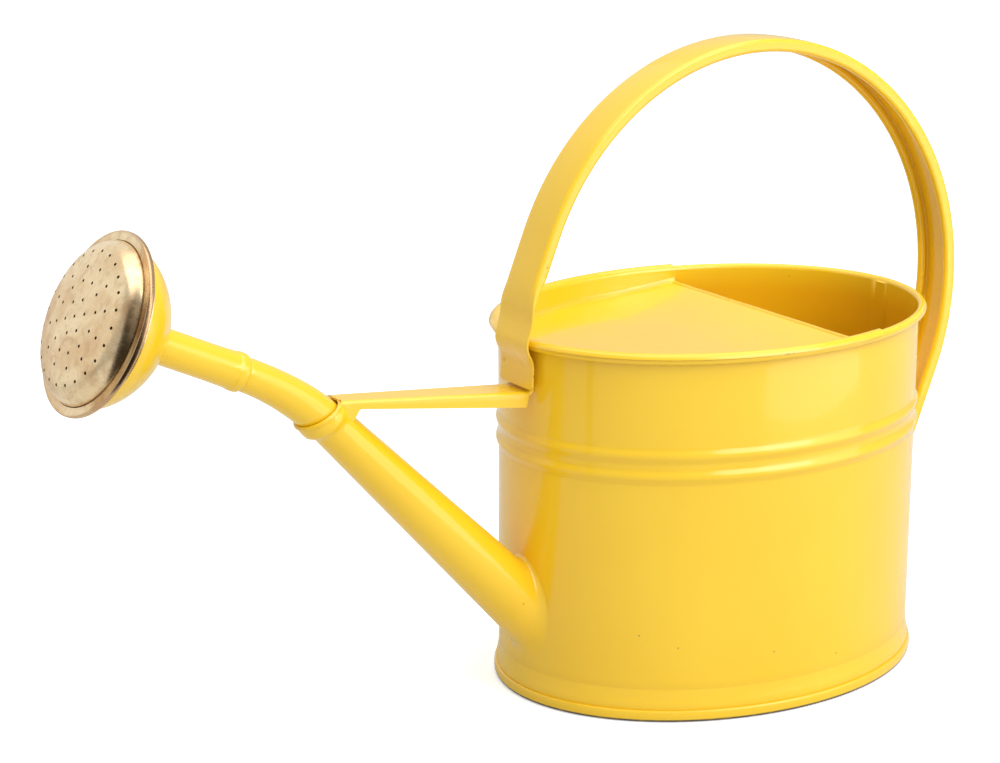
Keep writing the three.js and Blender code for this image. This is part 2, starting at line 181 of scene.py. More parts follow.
def lengths(line):
    """The distance along a line to each of its points."""
    steps = np.linalg.norm(np.diff(line, axis=0), axis=1)
    return np.concatenate([[0.0], np.cumsum(steps)])


def resample(line, stations):
    """Points of a line at the given distances along it."""
    line = np.asarray(line, float)
    measured = lengths(line)
    return beside(*(np.interp(stations, measured, column) for column in line.T))


def evenly(line, count):
    line = np.asarray(line, float)
    return resample(line, np.linspace(0, lengths(line)[-1], count))


def grid_faces(rows, columns, wrap_rows=False, wrap_columns=False):
    faces = []
    for i in range(rows if wrap_rows else rows - 1):
        for j in range(columns if wrap_columns else columns - 1):
            below, right = (i + 1) % rows, (j + 1) % columns
            faces.append((i * columns + j, i * columns + right, below * columns + right, below * columns + j))
    return faces


def full_turn(count):
    """Evenly spaced angles once round, without the last one, which would repeat the first."""
    return np.linspace(0, 2 * math.pi, count, endpoint=False)


def directions(path):
    """The unit direction of a line at each of its points."""
    steps = np.gradient(path, axis=0)
    return steps / np.linalg.norm(steps, axis=1)[:, None]


def mesh_from(name, points, faces):
    """A mesh in metres from points in millimetres, with its faces turned outwards."""
    mesh = bpy.data.meshes.new(name)
    mesh.from_pydata((np.asarray(points, float).reshape(-1, 3) * MM).tolist(), [], faces)
    work = bmesh.new()
    work.from_mesh(mesh)
    bmesh.ops.remove_doubles(work, verts=work.verts, dist=0.002 * MM)
    bmesh.ops.dissolve_degenerate(work, edges=work.edges, dist=0.001 * MM)
    bmesh.ops.recalc_face_normals(work, faces=work.faces)
    work.to_mesh(mesh)
    work.free()
    return mesh


def shell_from(name, rings):
    """A closed skin over rings of points, the last ring joined to the first."""
    return mesh_from(name, rings, grid_faces(len(rings), len(rings[0]), wrap_rows=True, wrap_columns=True))


def bar_from(name, rings):
    """A skin over rings of points, with one flat face over each end."""
    columns = len(rings[0])
    total = len(rings) * columns
    ends = [tuple(range(columns)), tuple(range(total - 1, total - columns - 1, -1))]
    return mesh_from(name, rings, grid_faces(len(rings), columns, wrap_columns=True) + ends)


def face_towards(mesh, direction):
    """Turns an open sheet over if more of it faces away from a direction than towards it."""
    if sum(face.normal.dot(Vector(direction)) * face.area for face in mesh.polygons) < 0:
        mesh.flip_normals()
    return mesh


def read(items, key, width, kind):
    """One property of all points or edges of a mesh, as an array with a row for each."""
    values = np.empty(len(items) * width, kind)
    items.foreach_get(key, values)
    return values.reshape(-1, width)


def store(mesh, name, values):
    """Keeps a number for every point of a mesh as an attribute for its material."""
    mesh.attributes.new(name, "FLOAT", "POINT").data.foreach_set("value", values)


def mark_edges(mesh):
    """Stores how sharply the surface bends out at each point, as the attribute 'edge'."""
    count = len(mesh.vertices)
    place = read(mesh.vertices, "co", 3, float)
    normal = read(mesh.vertices, "normal", 3, float)
    first, second = read(mesh.edges, "vertices", 2, int).T
    step = place[second] - place[first]
    bend = ((normal[second] - normal[first]) * step).sum(axis=1) / np.maximum((step ** 2).sum(axis=1), 1e-10)
    links = np.maximum(np.bincount(first, minlength=count) + np.bincount(second, minlength=count), 1)

    def spread(to_first, to_second):
        total = np.bincount(first, to_first, minlength=count)
        return (total + np.bincount(second, to_second, minlength=count)) / links

    curvature = np.clip(spread(bend, bend) * MM, -2, 2)
    for _ in range(2):
        curvature = 0.5 * curvature + 0.5 * spread(curvature[second], curvature[first])
    store(mesh, "edge", curvature.astype(np.float32))


def apply_modifiers(obj):
    evaluated = obj.evaluated_get(bpy.context.evaluated_depsgraph_get())
    mesh = bpy.data.meshes.new_from_object(evaluated)
    obj.modifiers.clear()
    obj.data = mesh


def add_piece(name, mesh, body, slot, material, replaced=(), sheet=0.0, cutter=None, sharp=38):
    """Links a mesh as a finished piece: thickness, cut, shading, material and body; the slot argument is not
    used.
    """
    obj = new_object(name, mesh)
    if sheet:
        solid = obj.modifiers.new("sheet", "SOLIDIFY")
        solid.thickness = sheet * MM
        solid.offset = -1
        solid.use_even_offset = True
    if cutter:
        cut = obj.modifiers.new("cut", "BOOLEAN")
        cut.operation = "DIFFERENCE"
        cut.solver = "EXACT"
        cut.object = cutter
    if sheet or cutter:
        apply_modifiers(obj)
    if cutter:
        bpy.data.objects.remove(cutter)
    obj.data.name = name
    obj.data.materials.clear()
    obj.data.materials.append(material)
    mark_edges(obj.data)
    obj.data.shade_smooth()
    obj.data.set_sharp_from_angle(angle=math.radians(sharp))
    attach(obj, body)
    if replaced:
        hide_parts(*replaced)
    return obj


# ---------- materials ----------

def add_node(tree, kind, settings=None, inputs=None):
    node = tree.nodes.new(kind)
    for key, value in (settings or {}).items():
        setattr(node, key, value)
    for key, value in (inputs or {}).items():
        if isinstance(value, bpy.types.NodeSocket):
            tree.links.new(value, node.inputs[key])
        else:
            node.inputs[key].default_value = value
    return node


def object_coordinates(tree):
    return add_node(tree, "ShaderNodeTexCoord").outputs["Object"]


def noise(tree, place, scale, detail=3.0, roughness=0.5, distortion=0.0):
    inputs = {"Vector": place, "Scale": scale, "Detail": detail,
              "Roughness": roughness, "Distortion": distortion}
    return add_node(tree, "ShaderNodeTexNoise", inputs=inputs).outputs["Fac"]


def ramp(tree, value, low, high, to_low=0.0, to_high=1.0, smooth=True):
    settings = {"interpolation_type": "SMOOTHSTEP" if smooth else "LINEAR"}
    inputs = {"Value": value, "From Min": low, "From Max": high, "To Min": to_low, "To Max": to_high}
    return add_node(tree, "ShaderNodeMapRange", settings, inputs).outputs["Result"]


def maths(tree, operation, first, second=None):
    inputs = {0: first}
    if second is not None:
        inputs[1] = second
    return add_node(tree, "ShaderNodeMath", {"operation": operation}, inputs).outputs[0]


def mix_colour(tree, factor, first, second):
    settings = {"data_type": "RGBA"}
    return add_node(tree, "ShaderNodeMix", settings, {0: factor, 6: first, 7: second}).outputs[2]


def mix_shader(tree, factor, first, second):
    inputs = {0: factor, 1: first.outputs[0], 2: second.outputs[0]}
    return add_node(tree, "ShaderNodeMixShader", inputs=inputs).outputs[0]


def tinted(tree, colour, layers):
    """A colour with further colours laid over it in turn, each given as (amount, colour)."""
    for amount, tint in layers:
        colour = mix_colour(tree, amount, colour, (*tint, 1))
    return colour


def bump(tree, height, distance, normal=None):
    inputs = {"Height": height, "Distance": distance, "Strength": 1.0}
    if normal is not None:
        inputs["Normal"] = normal
    return add_node(tree, "ShaderNodeBump", inputs=inputs).outputs["Normal"]


def attribute(tree, name):
    return add_node(tree, "ShaderNodeAttribute", {"attribute_name": name}).outputs["Fac"]


def new_object(name, data):
    obj = bpy.data.objects.new(name, data)
    bpy.context.scene.collection.objects.link(obj)
    return obj


def new_material(name):
    material = bpy.data.materials.new(name)
    material.use_nodes = True
    material.node_tree.nodes.clear()
    return material, material.node_tree


def close_material(tree, inputs):
    shader = add_node(tree, "ShaderNodeBsdfPrincipled", inputs=inputs)
    add_node(tree, "ShaderNodeOutputMaterial", inputs={"Surface": shader.outputs["BSDF"]})


def make_paint():
    """Gloss powder coat: even yellow, faint orange peel, a few specks, thin and chipped on edges. Painted
    shade darkens its creases, a painted contact shadow runs along the foot of the seam, and a painted bounce
    tint deepens the inside of the wall.
    """
    material, tree = new_material("yellow_powder_coat")
    place = object_coordinates(tree)
    edge = attribute(tree, "edge")
    broad = noise(tree, place, 13.0, 2.0)
    smudge = noise(tree, place, 42.0, 4.0, 0.5)
    peel = noise(tree, place, 620.0, 2.0, 0.4)
    grain = noise(tree, place, 2600.0, 2.0, 0.5)

    # painted shade: concave creases and channels are darkened where shade would fall
    crease_shade = ramp(tree, edge, -0.02, -0.40, 0.0, 0.45)
    thin = maths(tree, "MULTIPLY", ramp(tree, edge, 0.16, 0.75), ramp(tree, smudge, 0.35, 0.75, 0.15, 0.6))
    cells = add_node(tree, "ShaderNodeTexVoronoi", {"feature": "F1"}, {"Vector": place, "Scale": 150.0})
    parts = add_node(tree, "ShaderNodeSeparateColor", inputs={"Color": cells.outputs["Color"]})
    dot = ramp(tree, cells.outputs["Distance"], 0.070, 0.040)
    speck = maths(tree, "MULTIPLY", dot, maths(tree, "GREATER_THAN", parts.outputs["Red"], 0.955))
    chip_noise = noise(tree, place, 210.0, 4.0, 0.6)
    chip_size = ramp(tree, edge, 0.25, 1.0, 0.0, 0.16)
    chip = ramp(tree, maths(tree, "ADD", chip_noise, chip_size), 0.800, 0.815)
    # painted contact shadow: the foot of the seam is darkened where it meets the ground
    contact_shade = maths(tree, "MULTIPLY", attribute(tree, "contact_shade"), ramp(tree, chip_noise, 0.30, 0.55, 0.75, 1.0))
    colour = tinted(tree, (0.955, 0.600, 0.014, 1), (
        (ramp(tree, broad, 0.3, 0.7), (0.970, 0.630, 0.018)),
        (ramp(tree, grain, 0.25, 0.75, 0.0, 0.08), (0.90, 0.50, 0.010)),
        # painted shade in concave creases
        (crease_shade, (0.66, 0.36, 0.010)),
        (thin, (0.86, 0.53, 0.020)),
        (maths(tree, "MULTIPLY", speck, 0.75), (0.22, 0.12, 0.030)),
        (chip, (0.26, 0.19, 0.12)),
        # painted bounce tint: the inside of the wall is tinted deeper orange in place of light bounced
        # between the walls
        (maths(tree, "MULTIPLY", attribute(tree, "bounce_tint"), 0.85), (0.96, 0.47, 0.006)),
        # painted contact shadow along the foot of the seam
        (contact_shade, (0.085, 0.060, 0.025)),
    ))

    gloss = ramp(tree, smudge, 0.25, 0.80, 0.21, 0.28)
    gloss = maths(tree, "ADD", gloss, maths(tree, "MULTIPLY", ramp(tree, edge, 0.2, 0.8), 0.10))
    gloss = maths(tree, "ADD", gloss, maths(tree, "MULTIPLY", chip, 0.25))
    surface = bump(tree, noise(tree, place, 17.0, 1.0, 0.3), 0.00035)
    surface = bump(tree, peel, 0.000022, surface)
    surface = bump(tree, maths(tree, "SUBTRACT", maths(tree, "MULTIPLY", speck, 0.6), chip), 0.00012, surface)
    close_material(tree, {
        "Base Color": colour,
        "Roughness": gloss,
        "Normal": surface,
        "Metallic": 0.0,
        "IOR": 1.5,
        "Coat Weight": 0.5,
        "Coat Roughness": 0.04,
        "Coat IOR": 1.5,
    })
    return material


def make_brass():
    """Satin spun brass with mottled tarnish, a coppery rolled edge and bright high spots."""
    material, tree = new_material("satin_brass")
    place = object_coordinates(tree)
    edge = attribute(tree, "edge")
    rim = attribute(tree, "rim")
    cloud = noise(tree, place, 38.0, 5.0, 0.62, 0.6)
    mottle = noise(tree, place, 260.0, 4.0, 0.6, 0.3)
    pits = noise(tree, place, 900.0, 3.0, 0.5)
    tarnish = noise(tree, place, 85.0, 4.0, 0.65, 0.8)
    colour = tinted(tree, (0.96, 0.77, 0.48, 1), (
        (ramp(tree, cloud, 0.38, 0.62), (0.80, 0.56, 0.31)),
        (ramp(tree, tarnish, 0.52, 0.70, 0.0, 0.55), (0.63, 0.39, 0.20)),
        (ramp(tree, mottle, 0.50, 0.72, 0.0, 0.38), (0.52, 0.355, 0.185)),
        (ramp(tree, pits, 0.64, 0.72, 0.0, 0.35), (0.38, 0.25, 0.13)),
        (maths(tree, "MULTIPLY", rim, 0.62), (0.52, 0.285, 0.135)),
        (ramp(tree, edge, -0.03, -0.35, 0.0, 0.7), (0.20, 0.11, 0.05)),
    ))
    gloss = ramp(tree, cloud, 0.3, 0.7, 0.21, 0.30)
    gloss = maths(tree, "ADD", gloss, ramp(tree, mottle, 0.45, 0.75, 0.0, 0.10))
    surface = bump(tree, noise(tree, place, 60.0, 2.0, 0.4), 0.00014)
    surface = bump(tree, mottle, 0.000028, surface)
    surface = bump(tree, pits, 0.000012, surface)
    close_material(tree, {
        "Base Color": colour,
        "Roughness": gloss,
        "Normal": surface,
        "Metallic": 1.0,
    })
    return material


def make_steel():
    """Drawn steel wire: fine scratches round it and a little dull oxide."""
    material, tree = new_material("drawn_steel_wire")
    place = object_coordinates(tree)
    stain = noise(tree, place, 90.0, 5.0, 0.6)
    scratch = noise(tree, place, 1500.0, 3.0, 0.6, 1.5)
    colour = mix_colour(tree, ramp(tree, stain, 0.35, 0.7), (0.42, 0.42, 0.41, 1), (0.24, 0.21, 0.18, 1))
    colour = mix_colour(tree, ramp(tree, scratch, 0.5, 0.8, 0.0, 0.5), colour, (0.60, 0.60, 0.60, 1))
    close_material(tree, {
        "Base Color": colour,
        "Roughness": ramp(tree, stain, 0.3, 0.7, 0.32, 0.58),
        "Normal": bump(tree, scratch, 0.00002),
        "Metallic": 1.0,
    })
    return material


def make_floor_material():
    """Pale matt studio floor: brighter to the lens than in the light it throws back on the object."""
    material, tree = new_material("pale_floor")
    place = object_coordinates(tree)
    cloud = noise(tree, place, 3.0, 3.0)
    ray = add_node(tree, "ShaderNodeLightPath")
    colour = mix_colour(tree, cloud, (0.93, 0.93, 0.93, 1), (0.95, 0.95, 0.95, 1))
    colour = mix_colour(tree, ray.outputs["Is Camera Ray"], FLOOR_BOUNCE, colour)
    close_material(tree, {
        "Base Color": colour,
        "Roughness": 0.9,
        "Specular IOR Level": 0.15,
        "Emission Color": (1.0, 1.0, 1.0, 1.0),
        "Emission Strength": maths(tree, "MULTIPLY", ray.outputs["Is Camera Ray"], FLOOR_GLOW),
    })
    return material


paint = make_paint()
brass = make_brass()
steel = make_steel()


# ---------- body ----------

def oval(angles, offsets):
    """Points of the body's oval, moved out by an offset along the oval's own normal."""
    cosine, sine = np.cos(angles), np.sin(angles)
    normal_x, normal_y = HALF_WIDTH * cosine, HALF_LENGTH * sine
    size = np.hypot(normal_x, normal_y)
    return HALF_LENGTH * cosine + offsets * normal_x / size, HALF_WIDTH * sine + offsets * normal_y / size


def oval_ring(angles, offsets, height):
    x, y = oval(angles, offsets)
    return beside(x, y, np.full_like(x, height))


def wall_offset(height):
    return -WALL_TAPER * (1 - height / BODY_HEIGHT)


def sheet_waver(angles, height):
    """The slight unevenness of hand-rolled sheet; it fades out at the rim and the base."""
    fade = math.sin(math.pi * min(max(height / 156.0, 0.0), 1.0)) ** 0.7
    swell = np.sin(3 * angles + 0.7 + height / 60.0) + 0.6 * np.sin(7 * angles - 1.1 + height / 34.0)
    return 0.11 * fade * swell


def rib_swell(height):
    """0 on the plain wall, 1 on the middle of a rib."""
    nearest = min(abs(height - rib) for rib in RIBS)
    return math.cos(math.pi / 2 * min(nearest / RIB_HALF_WIDTH, 1.0)) ** 2


def wall_outer_line():
    """The outside of the wall from its flared foot to the rim, as (offset, height) points."""
    line = [*rounded([(-0.7, 1.2), (-0.7, 4.2), (0.25, 4.75), (0.55, 5.7), (0.5, 7.6), (-0.1, 10.4),
                      (wall_offset(14), 14.0)], 3)]
    heights = [*np.arange(18.0, 103.0, 5.0), *np.linspace(103.0, 121.2, 50), 126.0, 132.0, 140.0, 148.0]
    line += [(wall_offset(height) + RIB_HEIGHT * rib_swell(height), height) for height in heights]
    return line


def lap_shape(across, outside):
    """The lap joint at the back: a raised strip with one sharp side and one soft side."""
    across = across if outside else -across
    soft = np.clip((across + 3 * LAP_HALF) / (2 * LAP_HALF), 0, 1)
    hard = np.clip((LAP_HALF - across) / 0.15, 0, 1)
    return LAP_STEP * (soft * soft * (3 - 2 * soft)) * hard


def make_wall():
    outer = wall_outer_line()
    inner = [(offset - SHEET, height) for offset, height in reversed(outer)]
    under = [*arc(CURL_CENTRE, CURL_RADIUS - SHEET, 180, CURL_END, 18)]
    over = [*arc(CURL_CENTRE, CURL_RADIUS, CURL_END, 180, 22)]
    profile = outer + under + over + inner
    outside = [True] * (len(outer) + len(under)) + [False] * (len(over) + len(inner))

    lap_right = np.array([0.5, 1.0, 1.06, 1.5, 2.0, 2.5, 3.0, 3.2])
    lap = np.concatenate([-lap_right[::-1], [0.0], lap_right])
    lap_angles = np.arcsin(lap * LAP_HALF / HALF_WIDTH)
    margin = lap_angles[-1] + math.pi / WALL_COLUMNS
    angles = np.concatenate([lap_angles, np.linspace(margin, 2 * math.pi - margin, WALL_COLUMNS)])
    across = np.where(np.cos(angles) > 0, HALF_WIDTH * np.sin(angles), 99.0)

    points = []
    for (offset, height), is_outer in zip(profile, outside):
        lift = lap_shape(across, is_outer) * (1 if is_outer else -1)
        if not is_outer and height > CURL_CENTRE[1]:
            lift = -0.6 * lift
        elif offset > 0.1 and height > 150:
            lift = 0.6 * np.abs(lift)
        points.append(oval_ring(angles, offset + lift + sheet_waver(angles, height), height))
    return shell_from("wall", points)


def make_wall_cutter():
    """The round hole in the wall behind the spout."""
    turns = full_turn(TUBE_SIDES)
    ends = [along(SPOUT_FOOT, SPOUT_ANGLE, distance) for distance in (-30, 30)]
    rings = [ring_at(end, SPOUT_ANGLE, np.full_like(turns, WALL_HOLE_RADIUS), turns) for end in ends]
    return new_object("spout_hole", bar_from("spout_hole", rings))


def make_base():
    """The double seam round the foot of the body, with the floor it holds."""
    columns = WALL_COLUMNS
    angles = full_turn(columns)
    bead = rounded([(-2.2, 0.5), (-0.9, 0.0), (1.0, 0.0), (1.5, 0.7), (SEAM_DEPTH + 0.05, 2.4),
                    (1.55, 4.3), (1.15, 4.95), (0.2, 5.05), (-0.3, 4.6)], 3)
    inside = [(-0.5, 1.6), (-1.4, 1.0), (-4.0, FLOOR_LEVEL), (-6.0, FLOOR_LEVEL)]
    profile = [(-6.0, UNDERSIDE_LEVEL), (-3.4, 0.5), *bead, *inside]
    band = [oval_ring(angles, offset, height) for offset, height in profile]

    def panel(edge_ring, level):
        rings = []
        for scale in (0.93, 0.91, 0.89, 0.87, 0.80, 0.6, 0.35, 0.12):
            lift = PANEL_RELIEF * min(max((0.93 - scale) / 0.04, 0.0), 1.0)
            rings.append(edge_ring * (scale, scale, 0) + (0, 0, level + lift))
        return rings

    rings = panel(band[0], UNDERSIDE_LEVEL)[::-1] + band + panel(band[-1], FLOOR_LEVEL)
    faces = grid_faces(len(rings), columns, wrap_columns=True)
    total = len(rings) * columns
    for first, middle in ((0, total), (total - columns, total + 1)):
        faces += [(first + j, first + (j + 1) % columns, middle) for j in range(columns)]
    middles = [(0.0, 0.0, rings[end][0][2]) for end in (0, -1)]
    return mesh_from("base", np.concatenate([*rings, middles]), faces)


def mark_points(mesh, name, value_at):
    """Stores a number for every point of a mesh, from its place in mm and its normal."""
    store(mesh, name, [value_at(vertex.co / MM, vertex.normal) for vertex in mesh.vertices])


def contact_shaded(place, normal):
    """1 along the foot of the seam where it meets the ground, where a dark contact shadow is painted, 0
    elsewhere.
    """
    out = (place.x / HALF_LENGTH) ** 2 + (place.y / HALF_WIDTH) ** 2
    return 1 - ease(place.z, 0.9, 1.4) if out > 0.93 else 0.0


def bounce_tinted(place, normal):
    """1 on the inner side of the wall below the rim, where a deeper orange is painted in to stand for light
    bounced between the walls, 0 elsewhere.
    """
    inward = normal.x * place.x + normal.y * place.y < 0
    return 1 - ease(place.z, 150.0, 154.0) if inward else 0.0


# ---------- half cover ----------

def cover_level(x):
    rise = np.clip((x - COVER_RISE_START_X) / (COVER_EDGE_X - COVER_RISE_START_X), 0, None)
    return COVER_LEVEL + COVER_RISE * rise * rise


def edge_angle(offset, edge_x):
    """The oval's angle at which a line with this offset reaches the cover's straight edge."""
    low, high = 0.2, math.pi / 2
    for _ in range(50):
        middle = (low + high) / 2
        if oval(np.array([middle]), offset)[0][0] > edge_x:
            low = middle
        else:
            high = middle
    return low


def make_cover():
    columns = 220
    plate_edge = COVER_EDGE_X - HEM_RADIUS
    roll = arc(CURL_CENTRE, COVER_ROLL_RADIUS, 14, 180, 20)
    wall_line = roll[-1][0]
    straight = [(wall_line, t) for t in (0.85, 0.6, 0.3, 0.0)]
    bend = arc((wall_line - COVER_BEND_RADIUS, COVER_BEND_RADIUS), COVER_BEND_RADIUS, 0, -90, 8)[1:]

    def border(offset, edge_x, height_at):
        """A row of points from one end of the straight edge round the front to its other end."""
        start = edge_angle(offset, edge_x)
        x, y = oval(np.linspace(start, 2 * math.pi - start, columns), offset)
        return beside(x, y, np.zeros_like(x) + height_at(x))

    def upstand_height(x, part):
        bottom = cover_level(x) + COVER_BEND_RADIUS
        return bottom + part * (CURL_CENTRE[1] - bottom)

    rows = [border(offset, COVER_EDGE_X, lambda x: height) for offset, height in roll]
    rows += [border(offset, COVER_EDGE_X, lambda x: upstand_height(x, part)) for offset, part in straight]
    for k, (offset, height) in enumerate(bend):
        edge_x = COVER_EDGE_X + (plate_edge - COVER_EDGE_X) * (k + 1) / len(bend)
        rows.append(border(offset, edge_x, lambda x: cover_level(x) + height))
    faces = grid_faces(len(rows), columns)
    points = list(np.concatenate(rows))

    rim_row = (len(rows) - 1) * columns
    across = 40
    pairs = columns // 2
    plate_rows = []
    for i in range(pairs - 1):
        left, right = rim_row + i, rim_row + columns - 1 - i
        row = [left]
        for k in range(1, across):
            t = k / across
            point = points[left] * (1 - t) + points[right] * t
            point[2] = cover_level(point[0])
            point[2] += 0.10 * math.sin(math.pi * t) * math.sin(point[0] / 17.0 + 2.0 * t)
            row.append(len(points))
            points.append(point)
        row.append(right)
        plate_rows.append(row)
    for upper, lower in zip(plate_rows[:-1], plate_rows[1:]):
        faces += [(upper[k], upper[k + 1], lower[k + 1], lower[k]) for k in range(across)]
    last, left, right = plate_rows[-1], rim_row + pairs - 1, rim_row + pairs
    half = across // 2
    faces += [(last[k], last[k + 1], left if k < half else right) for k in range(across)]
    faces.append((last[half], right, left))
    return face_towards(mesh_from("cover", points, faces), (0, 0, 1))


def make_hem():
    """The wired hem along the straight edge of the cover."""
    half = oval(np.array([edge_angle(-2.0, COVER_EDGE_X)]), -2.0)[1][0]
    centre = (COVER_EDGE_X - HEM_RADIUS, float(cover_level(COVER_EDGE_X - HEM_RADIUS)) - 0.45)
    turns = full_turn(24)
    rows = []
    for y in np.linspace(-half, half, 60):
        radius = HEM_RADIUS + 0.04 * math.sin(y / 5.0)
        x, z = centre[0] + radius * np.cos(turns), centre[1] + radius * np.sin(turns)
        rows.append(beside(x, np.full_like(x, y), z))
    return bar_from("hem", rows)


# ---------- handle ----------

def strap_outlines():
    """The strap's section and the flat section of its feet, as matching (across, depth) points."""
    def crown(across):
        return CROWN * (across / STRAP_HALF) ** 2

    face = np.linspace(0, STRAP_HALF - 1.6, 14)
    outer = [(x, crown(x)) for x in face]
    corner = arc((STRAP_HALF - 1.6, crown(STRAP_HALF - 1.6) + 1.6), 1.6, -82, 0, 7)
    bead_centre = (STRAP_HALF - BEAD_RADIUS, STRAP_DEPTH - BEAD_RADIUS)
    bead = arc(bead_centre, BEAD_RADIUS, 0, 226, 18)
    web = [(7.15, STRAP_WEB + 0.45), (6.9, STRAP_WEB + 0.1), (6.5, STRAP_WEB)]
    web += [(x, STRAP_WEB) for x in np.linspace(5.4, 0, 6)]
    outside = np.array([*outer, *corner, bead[0]])
    inside = np.array([*bead, *web])

    middle = (FOOT_HALF, FOOT_SHEET / 2)
    flat_outside = evenly(rounded([(0, 0), (FOOT_HALF, 0), middle], 2), len(outside))
    flat_inside = evenly(rounded([middle, (FOOT_HALF, FOOT_SHEET), (0, FOOT_SHEET)], 2), len(inside))
    full = np.concatenate([outside[:-1], inside])
    flat = np.concatenate([flat_outside[:-1], flat_inside])
    mirror = np.array([-1.0, 1.0])
    return (np.concatenate([half, (half * mirror)[1:-1][::-1]]) for half in (full, flat))


def strap_path():
    """The outer face in side view, from the front foot over the arch to the rear foot."""
    front = [(-102.5, 140.0), (-101.9, 146.5), (-102.0, 151.5), (-104.6, 155.8), (-105.0, 160.0),
             (-103.3, 164.8), (-102.2, 169.0), (-101.9, 176.0), (-100.5, 183.0)]
    rear = [(103.0, 62.0), (101.3, 57.5), (100.6, 53.0), (100.5, 46.0), (100.5, 36.0)]
    tilt = math.degrees(ARCH_TILT)
    arch = arc(ARCH_CENTRE, ARCH_RADIUS, 180 - tilt, -tilt, 59)
    leg = np.array([-math.sin(ARCH_TILT), -math.cos(ARCH_TILT)])
    front_leg = [arch[0] + below * leg for below in (14, 7)]
    rear_leg = [arch[-1] + below * leg for below in (15, 30, 44)]
    line = np.concatenate([rounded(front + front_leg, 2), arch, rounded(rear_leg + rear, 2)])
    total = lengths(line)[-1]
    stations = np.concatenate([
        np.linspace(0, 60, 100),
        np.linspace(62, total - 62, 150),
        np.linspace(total - 60, total, 80),
    ])
    return resample(line, stations), stations, total


def foot_half_width(distance, total):
    """How far the outline is drawn in at the rounded corners of each foot."""
    near_end = min(distance, total - distance)
    if near_end >= FOOT_CORNER:
        return 1.0
    back = FOOT_CORNER - near_end
    return 1.0 - (FOOT_CORNER - math.sqrt(max(FOOT_CORNER ** 2 - back ** 2, 0.0))) / FOOT_HALF


def ease(value, low, high):
    t = min(max((value - low) / (high - low), 0.0), 1.0)
    return t * t * (3 - 2 * t)


def make_strap():
    full, flat = strap_outlines()
    path, stations, total = strap_path()
    rings = []
    for (x, z), (dx, dz), distance in zip(path, directions(path), stations):
        shape = max(1 - ease(distance, 33, 50), 1 - ease(total - distance, 24, 44))
        outline = full * (1 - shape) + flat * shape
        across = outline[:, 0] * foot_half_width(distance, total)
        depth = outline[:, 1].copy()
        if distance < 30:
            for spot_y, spot_z, spot_depth in WELD_SPOTS:
                reach = np.hypot(across - spot_y, z - spot_z) / WELD_RADIUS
                dent = np.cos(np.pi / 2 * np.clip(reach, 0, 1)) ** 2
                lip = np.exp(-((reach - 1.15) / 0.22) ** 2)
                depth += spot_depth * (dent - 0.22 * lip)
        rings.append(beside(x + depth * dz, across, z - depth * dx))
    return bar_from("strap", rings)


# ---------- spout ----------

def along(start, elevation, distance):
    return (start[0] - distance * math.cos(elevation), start[1] + distance * math.sin(elevation))


def ring_at(centre, elevation, radii, turns, heights=0.0):
    """Points round a sloping axis; turn 0 is on its upper side, and heights run along the axis."""
    up = radii * np.cos(turns)
    x = centre[0] + up * math.sin(elevation) - heights * math.cos(elevation)
    z = centre[1] + up * math.cos(elevation) + heights * math.sin(elevation)
    return beside(x, radii * np.sin(turns), z)


def cone_radius(distance):
    return SPOUT_FOOT_RADIUS - (SPOUT_FOOT_RADIUS - SPOUT_NECK_RADIUS) / SPOUT_NECK_AT * distance


def spout_ring(radii, turns, distance):
    return ring_at(SPOUT_FOOT, SPOUT_ANGLE, radii, turns, distance)


def wall_excess(points, offset):
    """How far points stand outside the body's oval, roughly in millimetres."""
    level = np.hypot(points[:, 0] / (HALF_LENGTH + offset), points[:, 1] / (HALF_WIDTH + offset))
    return (level - 1) * HALF_LENGTH


def wall_meeting(growth, offset, turns):
    """The distance along the spout at which each line of its cone leaves the wall."""
    low, high = np.full_like(turns, -40.0), np.full_like(turns, 40.0)
    for _ in range(40):
        middle = (low + high) / 2
        points = spout_ring(cone_radius(middle) + growth, turns, middle)
        inside = wall_excess(points, offset) < 0
        low, high = np.where(inside, middle, low), np.where(inside, high, middle)
    return low


def lip_distance(radii, turns):
    """Where a line at this radius meets the sloping plane of the lip."""
    return LIP_AT - radii * np.cos(turns) * math.tan(LIP_ANGLE - SPOUT_ANGLE)


def flare(below_lip, turns):
    """How far the mouth stands out from the cone: a rounded band, fattest on the underside."""
    under = 0.5 - 0.5 * np.cos(turns)
    full_until = FLARE_FULL[0] + (FLARE_FULL[1] - FLARE_FULL[0]) * under
    ends_at = FLARE_LENGTH[0] + (FLARE_LENGTH[1] - FLARE_LENGTH[0]) * under
    growth = FLARE_GROWTH[0] + (FLARE_GROWTH[1] - FLARE_GROWTH[0]) * under
    near = np.clip((ends_at - below_lip) / (ends_at - full_until), 0, 1)
    rounded_start = 0.75 + 0.25 * np.sin(np.clip(below_lip / full_until, 0, 1) * math.pi / 2)
    return growth * near * near * (3 - 2 * near) * rounded_start


